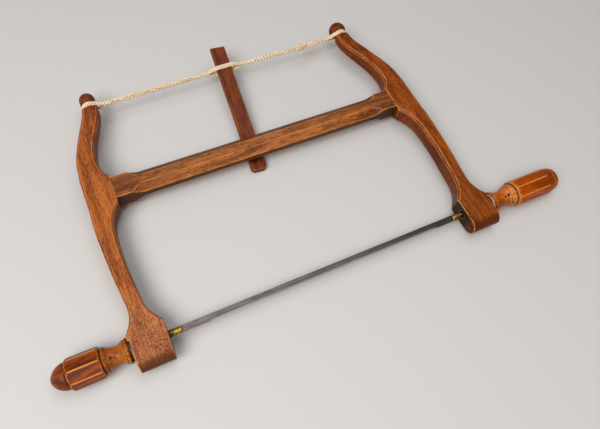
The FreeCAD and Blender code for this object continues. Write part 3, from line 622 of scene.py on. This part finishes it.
def tube_object(name, paths, radius=STRING_R, sides=10, mirror=False, ply_depth=0.10,
                taper=0.0):
    """Strings along the given paths as one mesh, each with its own two-ply lay."""
    mesh = bpy.data.meshes.new(name)
    bm = bmesh.new()
    layer = bm.loops.layers.uv.new("UVMap")
    for number, path in enumerate(paths):
        path = np.array(path, float)
        if mirror:
            path[:, 0] *= -1
        ahead = np.gradient(path, axis=0)
        ahead /= np.linalg.norm(ahead, axis=1)[:, None]
        up = np.array([0.0, 1.0, 0.0])
        first = up - ahead * (ahead @ up)[:, None]
        first /= np.linalg.norm(first, axis=1)[:, None]
        second = np.cross(ahead, first)
        along = along_path(path)
        offset = number * 1.13  # so that neighbouring strings don't match
        rings = []
        for k in range(len(path)):
            narrow = 1.0 - taper * along[k] / along[-1]
            ring = []
            for j in range(sides):
                v = j / sides
                a = 2 * math.pi * v
                lay = 2 * math.pi * (along[k] + offset) / STRING_PITCH + 2 * a
                r = radius * narrow * (1 + ply_depth * math.sin(lay))
                p = path[k] + r * (first[k] * math.cos(a) + second[k] * math.sin(a))
                ring.append(bm.verts.new(SAW @ CORD @ Vector(p)))
            rings.append(ring)
        for k in range(len(path) - 1):
            for j in range(sides):
                after = (j + 1) % sides
                corners = rings[k][j], rings[k + 1][j], rings[k + 1][after], rings[k][after]
                face = bm.faces.new(corners)
                face.smooth = True
                uvs = ((along[k], j), (along[k + 1], j), (along[k + 1], j + 1), (along[k], j + 1))
                for loop, (u, v) in zip(face.loops, uvs):
                    loop[layer].uv = (u + offset, v / sides)
        bm.faces.new(rings[0])
        bm.faces.new(list(reversed(rings[-1])))
    bmesh.ops.recalc_face_normals(bm, faces=bm.faces)
    bm.to_mesh(mesh)
    bm.free()
    obj = add_object(name, mesh)
    obj.data.materials.append(STRING)
    return obj


def at(x):
    """A point on the cord's axis, in the row frame."""
    return tuple(SAW @ CORD @ Vector((x, 0, 0)))


for side, sign in (("left", -1), ("right", 1)):
    rope = tube_object(side + "_rope", [twisted(i, p) for p in (1, -1) for i in range(3)],
                       mirror=sign < 0)
    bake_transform(rope)
    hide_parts(side + "_cord_twist")
    loop = tube_object(side + "_loop", [round_horn(i) for i in range(3)], mirror=sign < 0)
    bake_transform(loop)
    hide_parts(side + "_cord_loop")

for word, ply in (("front", 1), ("back", -1)):
    strands = tube_object("strands_" + word, [over_toggle(i, ply) for i in range(3)])
    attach(strands, "windlass")
    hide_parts("cord_strand_" + word)


def knot():
    """Three wraps round the rope and one string across them, with cut ends opened into fibres."""
    strings = []
    for start, lean in ((-1.9, 1.1), (0.1, -0.8), (1.8, 1.0)):
        strings.append([(KNOT_X + start + lean * math.sin(t), KNOT_R * math.sin(t),
                         KNOT_R * math.cos(t)) for t in np.linspace(0, 2 * math.pi, 60)])
    strings.append([(KNOT_X - 3.6 + 7.0 * t, -2.4 - 1.3 * math.sin(math.pi * t),
                     2.9 + 1.1 * math.sin(math.pi * t)) for t in np.linspace(0, 1, 24)])
    body = tube_object("knot", strings, radius=1.0)
    rng = random.Random(7)
    fibres = []
    for base_x, heading in ((-2.8, -42), (-0.6, -4), (2.6, 38)):
        for _ in range(8):
            a = math.radians(heading + rng.uniform(-15, 15))
            rise = rng.uniform(-0.30, 0.25)
            length = rng.uniform(7.0, 10.5)
            bend = rng.uniform(-0.5, 0.5)
            spread = rng.uniform(-0.5, 0.5)
            path = []
            for t in np.linspace(0, 1, 10):
                turn = a + bend * t * t
                path.append((KNOT_X + base_x + spread * 0.6 + length * t * math.sin(turn),
                             -3.0 - length * t * math.cos(turn),
                             2.4 + spread * 0.5 + length * t * rise))
            fibres.append(path)
    tails = tube_object("knot_tails", fibres, radius=0.46, sides=6, ply_depth=0.0, taper=0.5)
    for piece in (body, tails):
        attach(piece, "stretcher")
        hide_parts("cord_knot")


knot()


# ---------------------------------------------------------------- stage, light and camera

def floor():
    half = 6.0
    mesh = bpy.data.meshes.new("floor")
    mesh.from_pydata([(-half, -half, 0), (half, -half, 0), (half, half, 0), (-half, half, 0)],
                     [], [(0, 1, 2, 3)])
    obj = add_object("floor", mesh)
    mat = bpy.data.materials.new("floor")
    mat.use_nodes = True
    bsdf = mat.node_tree.nodes["Principled BSDF"]
    bsdf.inputs["Base Color"].default_value = srgb("#c4c1bf")
    bsdf.inputs["Roughness"].default_value = 0.75
    obj.data.materials.append(mat)


def area_light(name, place, size, power, color):
    """A soft rectangular light aimed at the middle of the floor."""
    data = bpy.data.lights.new(name, "AREA")
    data.shape = "RECTANGLE"
    data.size, data.size_y = size
    data.energy = power
    data.color = color
    obj = add_object(name, data)
    obj.location = place
    obj.rotation_mode = "QUATERNION"
    obj.rotation_quaternion = (-Vector(place)).to_track_quat("-Z", "Y")


def world():
    made = bpy.data.worlds.new("studio")
    made.use_nodes = True
    back = made.node_tree.nodes["Background"]
    back.inputs["Color"].default_value = (1.0, 0.98, 0.96, 1.0)
    back.inputs["Strength"].default_value = 0.25
    bpy.context.scene.world = made


def camera():
    """The photograph's angle: from above, left of the middle, rolled a little.

    The directions and the place are in the saw's own frame.
    """
    place = Vector((-139.0, -145.2, 453.8))
    right = Vector((0.90275, -0.42186, 0.08419))
    back = Vector((-0.26980, -0.40280, 0.87462)).normalized()
    right = (right - back * right.dot(back)).normalized()
    up = back.cross(right)
    turn = Matrix.Rotation(TIP_BACK, 3, "X")
    axes = Matrix((turn @ right, turn @ up, turn @ back)).transposed()
    data = bpy.data.cameras.new("camera")
    data.sensor_width = 36.0
    data.lens = 31.2
    data.clip_start = 0.01
    data.clip_end = 50.0
    obj = add_object("camera", data)
    obj.matrix_world = Matrix.Translation(SAW @ place) @ axes.to_4x4()
    bpy.context.scene.camera = obj


floor()
world()
area_light("key", (-0.95, -0.65, 1.40), (1.2, 1.0), 30.0, (1.0, 0.98, 0.95))
area_light("top", (0.35, 0.15, 1.9), (1.6, 1.2), 13.0, (0.97, 0.98, 1.0))
bpy.context.scene.view_settings.view_transform = "Standard"
camera()
